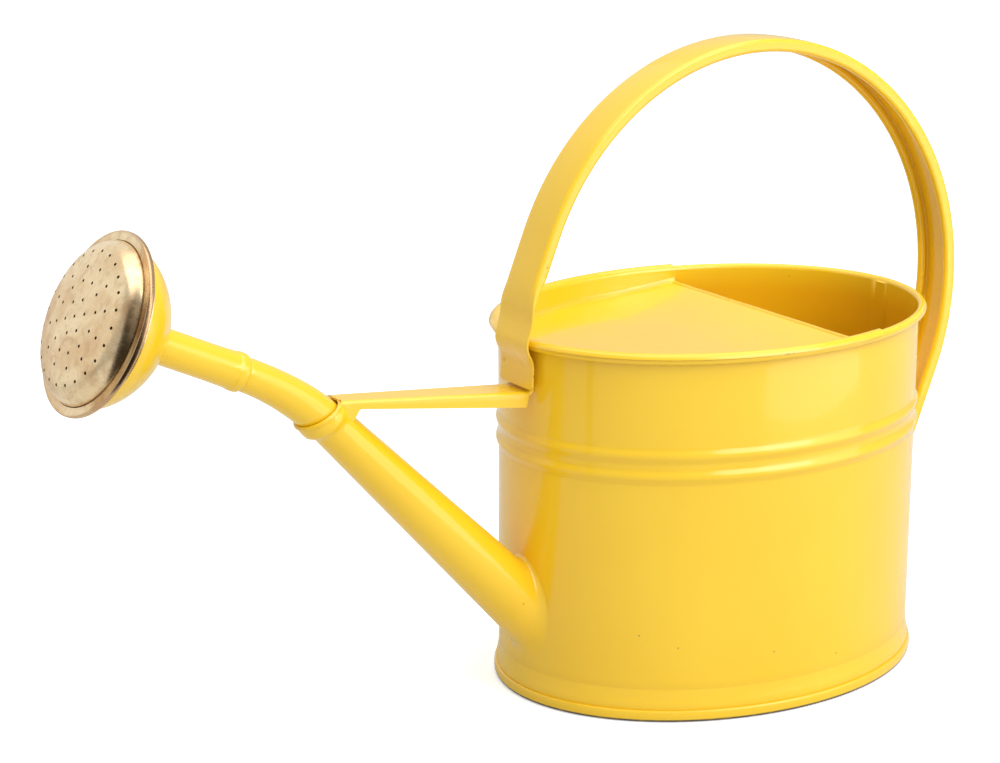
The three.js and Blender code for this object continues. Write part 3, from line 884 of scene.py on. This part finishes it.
def make_spout():
    turns = full_turn(96)
    meeting = wall_meeting(0.0, -0.55, turns)
    skirt = wall_meeting(SOLDER_REACH, -0.75, turns)
    skirt_ring = spout_ring(cone_radius(skirt) + SOLDER_REACH, turns, skirt)
    corner_ring = spout_ring(cone_radius(meeting), turns, meeting)
    rise = meeting + SOLDER_RISE
    cone_ring = spout_ring(cone_radius(rise), turns, rise)
    lumps = 1 + 0.16 * np.sin(5 * turns + 0.6) + 0.10 * np.sin(11 * turns)
    rings = []
    for t in np.linspace(0, 1, 12):
        curve = (1 - t) ** 2 * skirt_ring + 2 * t * (1 - t) * corner_ring + t * t * cone_ring
        chord = (1 - t) * skirt_ring + t * cone_ring
        solder = 0.22 * math.sin(math.pi * t) * lumps[:, None]
        rings.append(curve + (chord - curve) * solder)

    lip = lip_distance(LIP_RADIUS, turns)
    for t in np.linspace(0, 1, 60)[1:]:
        bias = 1 - (1 - t) ** 1.6
        distance = rise + (lip - rise) * bias
        radii = cone_radius(distance) + flare(lip - distance, turns)
        rings.append(spout_ring(radii, turns, distance))

    lip_centre = along(SPOUT_FOOT, SPOUT_ANGLE, LIP_AT)
    mouth = rings[-1]
    outward = mouth - np.array([lip_centre[0], 0, lip_centre[1]])
    outward /= np.linalg.norm(outward, axis=1)[:, None]
    axis = np.array([-math.cos(LIP_ANGLE), 0, math.sin(LIP_ANGLE)])
    for degrees in np.linspace(-20, 126, 11):
        angle = math.radians(degrees)
        out, up = LIP_BEAD * math.cos(angle) - 0.35, LIP_BEAD * math.sin(angle) - 0.1
        rings.append(mouth + outward * out + axis * up)

    wall_inside = wall_meeting(-SHEET, -0.9, turns)
    for t in np.linspace(0, 1, 40)[1:]:
        distance = lip - 1.0 + (wall_inside - lip + 1.0) * t
        radii = cone_radius(distance) + flare(lip - distance, turns) - SHEET
        radii = np.where(distance > BEND_START_AT, np.maximum(radii, MOUTH_BORE), radii)
        rings.append(spout_ring(radii, turns, distance))
    return shell_from("spout", rings)


# ---------- neck ----------

BEND_LENGTH = BEND_RADIUS * (SPOUT_ANGLE - ROSE_ANGLE)
BEND_START = along(SPOUT_FOOT, SPOUT_ANGLE, BEND_START_AT)


def neck_station(distance):
    """The neck's centre and slope at a distance past the start of its bend."""
    bent = min(max(distance, 0.0), BEND_LENGTH)
    angle = SPOUT_ANGLE - bent / BEND_RADIUS
    centre = (
        BEND_START[0] + BEND_RADIUS * (math.sin(angle) - math.sin(SPOUT_ANGLE)),
        BEND_START[1] + BEND_RADIUS * (math.cos(angle) - math.cos(SPOUT_ANGLE)),
    )
    return along(centre, angle, distance - bent), angle


ROSE_CENTRE = neck_station(BEND_LENGTH + ROSE_REACH)[0]


def make_neck():
    end = BEND_LENGTH + ROSE_REACH
    key_distances = [-10.7, 0, 10, 20, 27, 34, 41, 47, end - 67.6, end - 65.6, end - 51]
    key_radii = [7.85, 7.9, 8.15, 8.15, 7.85, 7.5, 7.25, 7.1, 7.05, SLEEVE_BORE - 0.3, SLEEVE_BORE - 0.3]
    distances = np.linspace(key_distances[0], key_distances[-1], 110)
    radii = np.interp(distances, key_distances, key_radii)
    kernel = np.array([1, 2, 3, 2, 1]) / 9.0
    radii[2:-2] = np.convolve(radii, kernel, "valid")
    turns = full_turn(TUBE_SIDES)
    line = list(zip(distances, radii))
    line += [(distance, radius - SHEET) for distance, radius in reversed(line)]
    rings = []
    for distance, radius in line:
        centre, angle = neck_station(distance)
        rings.append(ring_at(centre, angle, np.full_like(turns, radius), turns))
    return shell_from("neck", rings)


# ---------- rose ----------

def turned(name, profile, sides):
    """A solid of revolution about the rose's axis, from (radius, distance) points."""
    turns = full_turn(sides)
    rings = [ring_at(ROSE_CENTRE, ROSE_ANGLE, np.full(sides, r), turns, d) for r, d in profile]
    return shell_from(name, rings)


def make_sleeve():
    bore = SLEEVE_BORE
    outer = rounded([(7.4, -22.0), (7.4, -48.0), (7.55, -57.0), (7.7, -61.6), (8.05, -62.6), (8.15, -64.2),
                     (8.05, -65.6), (7.65, -66.5), (7.15, -66.9), (bore, -66.9), (bore, -64.0)], 2)
    profile = [*outer, (bore, -45.0), (bore, -22.0)]
    return turned("sleeve", profile, TUBE_SIDES)


def bowl_line(radius, depth, steps=44):
    line = []
    for angle in np.linspace(0, math.pi / 2, steps + 1):
        across = radius * max(math.cos(angle), 0.0) ** (2 / BOWL_ROUNDNESS)
        line.append((across, BOWL_START - depth * math.sin(angle) ** (2 / BOWL_ROUNDNESS)))
    return line


def make_bowl():
    outside = [p for p in bowl_line(BOWL_RADIUS, BOWL_DEPTH) if p[0] > 7.75]
    inside = [p for p in bowl_line(BOWL_RADIUS - SHEET, BOWL_DEPTH - SHEET) if p[0] > 7.75]
    edge = [(7.5, outside[-1][1] - 0.3), (7.5, inside[-1][1])]
    flange = [(BOWL_RADIUS - SHEET, -0.35), (34.4, -0.35), (35.5, -0.35), (35.6, -0.55), (35.5, -0.8),
              (34.3, -0.85), (33.5, -1.2)]
    profile = inside[::-1] + flange + outside + edge
    return turned("bowl", profile, 128)


def dome_profile():
    """The face's outer line from its middle to the clinched edge, as (radius, height) points."""
    sphere_centre = DOME_HEIGHT - DOME_SPHERE
    shoulder_across = DOME_FOOT_RADIUS - SHOULDER_RADIUS
    shoulder_height = sphere_centre + math.sqrt((DOME_SPHERE - SHOULDER_RADIUS) ** 2 - shoulder_across ** 2)
    meet = math.degrees(math.atan2(shoulder_height - sphere_centre, shoulder_across))
    crown = arc((0, sphere_centre), DOME_SPHERE, 90, meet, 24)
    bend = arc((shoulder_across, shoulder_height), SHOULDER_RADIUS, meet, 6, 18)[1:]
    edge = rounded([bend[-1], (33.05, 0.75), (33.9, 0.62), (35.9, 0.75), (36.6, 0.95), (EDGE_RADIUS, 0.35),
                    (EDGE_RADIUS, -0.7), (36.7, -1.7), (35.7, -1.75), (34.6, -1.7)], 3)[1:]
    return np.concatenate([crown, bend, edge])


def make_face():
    """The brass plate: a domed disc with real holes, and an edge rolled over the bowl's flange."""
    profile = dome_profile()
    reach = lengths(profile)
    flat_reach = float(np.interp(29.4, profile[:60, 0], reach[:60]))
    centres = np.concatenate([
        beside(ring * np.cos(turns), ring * np.sin(turns))
        for ring, turns in ((ring, HOLE_PHASE + full_turn(count)) for count, ring in HOLE_RINGS)
    ])

    points, edges = [], []

    def add_circle(x, y, radius, turns):
        first, count = len(points), len(turns)
        points.extend((x + radius * math.cos(turn), y + radius * math.sin(turn)) for turn in turns)
        edges.extend((first + k, first + (k + 1) % count) for k in range(count))

    add_circle(0.0, 0.0, flat_reach, full_turn(144))
    sides = 14
    for x, y in centres:
        for radius in (HOLE_RADIUS, HOLE_RADIUS + 0.15, HOLE_RADIUS + 0.45):
            add_circle(x, y, radius, full_turn(sides) + math.pi / sides)
    spacing = 1.35
    rows = int(flat_reach / (spacing * 0.866)) + 1
    for i in range(-rows, rows + 1):
        for j in range(-rows - 4, rows + 5):
            x, y = (j + 0.5 * (i % 2)) * spacing, i * spacing * 0.866
            clear_of_holes = np.linalg.norm(centres - (x, y), axis=1).min() > HOLE_RADIUS + 0.9
            if math.hypot(x, y) < flat_reach - 0.7 and clear_of_holes:
                points.append((x, y))
    result = geometry.delaunay_2d_cdt([Vector(p) for p in points], edges, [], 0, 1e-6)
    flat_points, flat_faces = np.array([tuple(p) for p in result[0]]), result[2]

    def in_hole(face):
        middle = flat_points[list(face)].mean(axis=0)
        return np.linalg.norm(centres - middle, axis=1).min() < HOLE_RADIUS * 0.95

    flat_faces = [tuple(face) for face in flat_faces if not in_hole(face)]
    flat_x, flat_y = flat_points.T
    distance = np.hypot(flat_x, flat_y)
    turns = np.arctan2(flat_y, flat_x)
    radii, heights = resample(profile, distance).T
    hole_distance = np.linalg.norm(flat_points[:, None] - centres[None], axis=2).min(axis=1)
    heights = heights - 0.10 * np.clip(1 - (hole_distance - HOLE_RADIUS) / 0.14, 0, 1)

    rings = [(r, z) for (r, z), s in zip(profile, reach) if s > flat_reach + 0.1]
    order = np.argsort(turns)
    on_rim = [i for i in order if abs(distance[i] - flat_reach) < 1e-4]
    rim_turns = turns[on_rim]
    all_points = list(beside(radii * np.cos(turns), radii * np.sin(turns), heights))
    faces = list(flat_faces)
    previous = list(on_rim)
    for radius, height in rings:
        first = len(all_points)
        all_points += [np.array([radius * math.cos(a), radius * math.sin(a), height]) for a in rim_turns]
        current = list(range(first, first + len(rim_turns)))
        for k, (low, high) in enumerate(zip(previous, current)):
            after = (k + 1) % len(current)
            faces.append((low, previous[after], current[after], high))
        previous = current
    local = np.array(all_points)
    x = ROSE_CENTRE[0] + local[:, 0] * math.sin(ROSE_ANGLE) - local[:, 2] * math.cos(ROSE_ANGLE)
    z = ROSE_CENTRE[1] + local[:, 0] * math.cos(ROSE_ANGLE) + local[:, 2] * math.sin(ROSE_ANGLE)
    return face_towards(mesh_from("face", beside(x, local[:, 1], z), faces), (-1, 0, 0))


def on_rim(place, normal):
    """1 on the rolled edge of the brass plate, 0 elsewhere."""
    axis = Vector((-math.cos(ROSE_ANGLE), 0, math.sin(ROSE_ANGLE)))
    arm = place - Vector((ROSE_CENTRE[0], 0, ROSE_CENTRE[1]))
    height = arm.dot(axis)
    return ease((arm - axis * height).length, 36.0, 36.8) if height < 3 else 0.0


# ---------- brace ----------

def bent_line(corners, reach, steps=6):
    """A line through the corners with each bend eased over the given reach."""
    line = [np.array(corners[0], float)]
    for before, corner, after in zip(corners[:-2], corners[1:-1], corners[2:]):
        corner = np.array(corner, float)
        back, ahead = np.array(before) - corner, np.array(after) - corner
        start = corner + back / np.linalg.norm(back) * reach
        end = corner + ahead / np.linalg.norm(ahead) * reach
        for t in np.linspace(0, 1, steps + 1):
            line.append((1 - t) ** 2 * start + 2 * t * (1 - t) * corner + t * t * end)
    return np.array(line + [np.array(corners[-1], float)])


def brace_section(half, drop, inset):
    """Half of the channel's section from its middle out and down, as (across, depth) points."""
    fold = BRACE_FOLD
    across = [(y, inset) for y in np.linspace(0, half - fold, 6)[:-1]]
    turn = [(half - fold + (fold - inset) * math.sin(a), fold - (fold - inset) * math.cos(a))
            for a in np.linspace(0, math.pi / 2, 7)]
    side = [(half - inset, fold + (drop - fold) * t) for t in (0.34, 0.67, 1.0)]
    return across + turn + side


def spout_top(x, across):
    """The height of the spout's upper surface above a point of the ground plan."""
    distance = (SPOUT_FOOT[0] - x) / math.cos(SPOUT_ANGLE)
    for _ in range(8):
        radius = cone_radius(distance)
        turn = math.asin(min(abs(across) / radius, 1.0))
        lip = lip_distance(LIP_RADIUS, turn)
        radius += flare(max(lip - distance, 0.0), turn)
        up = math.sqrt(radius ** 2 - across ** 2)
        distance = (SPOUT_FOOT[0] + up * math.sin(SPOUT_ANGLE) - x) / math.cos(SPOUT_ANGLE)
    return SPOUT_FOOT[1] + distance * math.sin(SPOUT_ANGLE) + up * math.cos(SPOUT_ANGLE)


def brace_drop(x, z, part, swept, across):
    """How far the flange hangs below the web; near the spout it lands on the cone and sinks in a little."""
    plain = BRACE_DROP[0] + (BRACE_DROP[1] - BRACE_DROP[0]) * part
    drop = plain
    if x < -178:
        landed = z + BRACE_SINK - spout_top(x - swept, across)
        drop += (landed - plain) * max(ease(-x, 179.5, 184.0) ** 2, ease(-x, 184.0, 186.0))
    return max(BRACE_FOLD + (drop - BRACE_FOLD) * ease(-x, 101.5, 101.9), BRACE_FOLD)


def make_brace():
    """An inverted channel of bent sheet; its web turns up under the front foot and runs onto the lip."""
    path = evenly(bent_line([(BRACE_WALL_X, 147.5), (BRACE_WALL_X, 138.2), (-187.8, 147.1)], 1.5), 260)
    rings = []
    for (x, z), (dx, dz) in zip(path, directions(path)):
        part = min(max((BRACE_WALL_X - x) / BRACE_TAPER_LENGTH, 0.0), 1.0)
        half = BRACE_HALF[0] + (BRACE_HALF[1] - BRACE_HALF[0]) * part
        sweep = BRACE_SWEEP * ease(-x, 182.0, 187.0)
        drops = [brace_drop(x, z, part, sweep * half ** 2, half - inset) for inset in (0.1, BRACE_SHEET)]
        outer, inner = brace_section(half, drops[0], 0.0), brace_section(half, drops[1], BRACE_SHEET)
        outline = outer + inner[::-1]
        outline += [(-y, d) for y, d in outline[::-1][1:-1]]
        rings.append([(x - d * dz - sweep * y * y, y, z + d * dx) for y, d in outline])
    return bar_from("brace", rings)


# ---------- pieces ----------

def painted(name, mesh, body, replaced=(), **finish):
    return add_piece(name, mesh, body, "yellow_paint", paint, replaced, **finish)


hole = make_wall_cutter()
wall = painted("wall_shell", make_wall(), "can", ["body_wall"], cutter=hole)
# painted bounce tint on the inside of the wall
mark_points(wall.data, "bounce_tint", bounce_tinted)
base = painted("base_seam", make_base(), "can", ["base_pan"])
# painted contact shadow along the foot of the seam
mark_points(base.data, "contact_shade", contact_shaded)
painted("half_cover", make_cover(), "can", ["top_cover"], sheet=COVER_SHEET)
painted("cover_hem", make_hem(), "can")
painted("strap_handle", make_strap(), "can", ["handle_strap"], sharp=50)
painted("brace_channel", make_brace(), "can", ["brace"])
painted("spout_cone", make_spout(), "can", ["spout_tube"])
painted("neck_pipe", make_neck(), "neck", ["neck_tube"])
painted("sleeve_pipe", make_sleeve(), "rose", ["rose_sleeve"])
painted("bowl_shell", make_bowl(), "rose", ["rose_bowl"])
face = add_piece("brass_plate", make_face(), "rose", "brass", brass, ["rose_face"], sheet=FACE_SHEET)
mark_points(face.data, "rim", on_rim)

wire = bpy.data.objects["rim_wire"]
for material_slot in wire.material_slots:
    material_slot.material = steel


# ---------- studio ----------

def add_quad(name, corners, material):
    mesh = bpy.data.meshes.new(name)
    mesh.from_pydata(corners, [], [(0, 1, 2, 3)])
    mesh.materials.append(material)
    return new_object(name, mesh)


def make_floor():
    reach, level = 25.0, -0.0002
    corners = [(-reach, -reach, level), (reach, -reach, level), (reach, reach, level), (-reach, reach, level)]
    floor = add_quad("studio_floor", corners, make_floor_material())


def add_dark_screen():
    """A narrow dark screen close beside the rose, soft at its edges, which only glossy surfaces show."""
    left, right = (value * MM for value in SCREEN_SPAN)
    low, high = (value * MM for value in SCREEN_HEIGHT)
    left_fade, right_fade, top_fade = (value * MM for value in SCREEN_FADE)
    side = SCREEN_SIDE * MM
    corners = [(left, side, low), (right, side, low), (right, side, high), (left, side, high)]
    material, tree = new_material("dark_screen")
    apart = add_node(tree, "ShaderNodeSeparateXYZ", inputs={0: object_coordinates(tree)})
    cover = ramp(tree, apart.outputs[0], left, left + left_fade)
    cover = maths(tree, "MULTIPLY", cover, ramp(tree, apart.outputs[0], right, right - right_fade))
    cover = maths(tree, "MULTIPLY", cover, ramp(tree, apart.outputs[2], high, high - top_fade))
    dark = add_node(tree, "ShaderNodeEmission", inputs={"Color": (0.030, 0.021, 0.013, 1), "Strength": 1.0})
    clear = add_node(tree, "ShaderNodeBsdfTransparent")
    surface = mix_shader(tree, cover, clear, dark)
    add_node(tree, "ShaderNodeOutputMaterial", inputs={"Surface": surface})
    screen = add_quad("dark_screen", corners, material)
    screen.visible_camera = False
    screen.visible_diffuse = False
    screen.visible_shadow = False


def aim(obj, place, target):
    obj.location = place
    obj.rotation_euler = (Vector(target) - Vector(place)).to_track_quat("-Z", "Y").to_euler()


def add_softbox(name, place, target, size, power, gloss_only=False, spread=None):
    light = bpy.data.lights.new(name, "AREA")
    light.shape = "RECTANGLE"
    light.size, light.size_y = size
    light.energy = power
    if spread:
        light.spread = math.radians(spread)
    lamp = new_object(name, light)
    aim(lamp, place, target)
    lamp.visible_camera = False
    lamp.visible_diffuse = not gloss_only
    lamp.visible_glossy = spread is None


def make_world():
    """An even, soft white surround."""
    world = bpy.data.worlds.new("studio_surround")
    world.use_nodes = True
    tree = world.node_tree
    tree.nodes.clear()
    soft = add_node(tree, "ShaderNodeBackground", inputs={"Color": (1, 1, 1, 1), "Strength": SURROUND})
    white = add_node(tree, "ShaderNodeBackground", inputs={"Color": (1, 1, 1, 1), "Strength": 1.0})
    ray = add_node(tree, "ShaderNodeLightPath")
    surface = mix_shader(tree, ray.outputs["Is Camera Ray"], soft, white)
    add_node(tree, "ShaderNodeOutputWorld", inputs={"Surface": surface})
    bpy.context.scene.world = world


def make_camera():
    camera = bpy.data.cameras.new("camera")
    camera.lens = CAMERA_LENS
    camera.sensor_width = 36.0
    view = new_object("camera", camera)
    aim(view, CAMERA_PLACE, CAMERA_TARGET)
    bpy.context.scene.camera = view


make_floor()
make_world()
make_camera()
add_softbox("key_softbox", (0.45, -1.65, 1.35), (0, 0, 0.12), (1.6, 1.6), 26.0)
add_softbox("top_softbox", (0.1, 0.0, 1.7), (0, 0, 0.1), (2.0, 2.0), 19.0)
add_softbox("mouth_light", (0.03, -0.34, 0.46), (0.062, 0.06, 0.118), (0.08, 0.08), 0.012, spread=22)
add_softbox("front_card", (0.27, -0.42, 0.25), (0.05, 0, 0.25), (0.42, 0.5), 0.9, gloss_only=True)
add_softbox("back_card", (-0.72, 0.82, 0.60), (-0.29, 0, 0.19), (2.5, 1.6), 4.1, gloss_only=True)
add_dark_screen()
bpy.context.scene.view_settings.view_transform = "Standard"
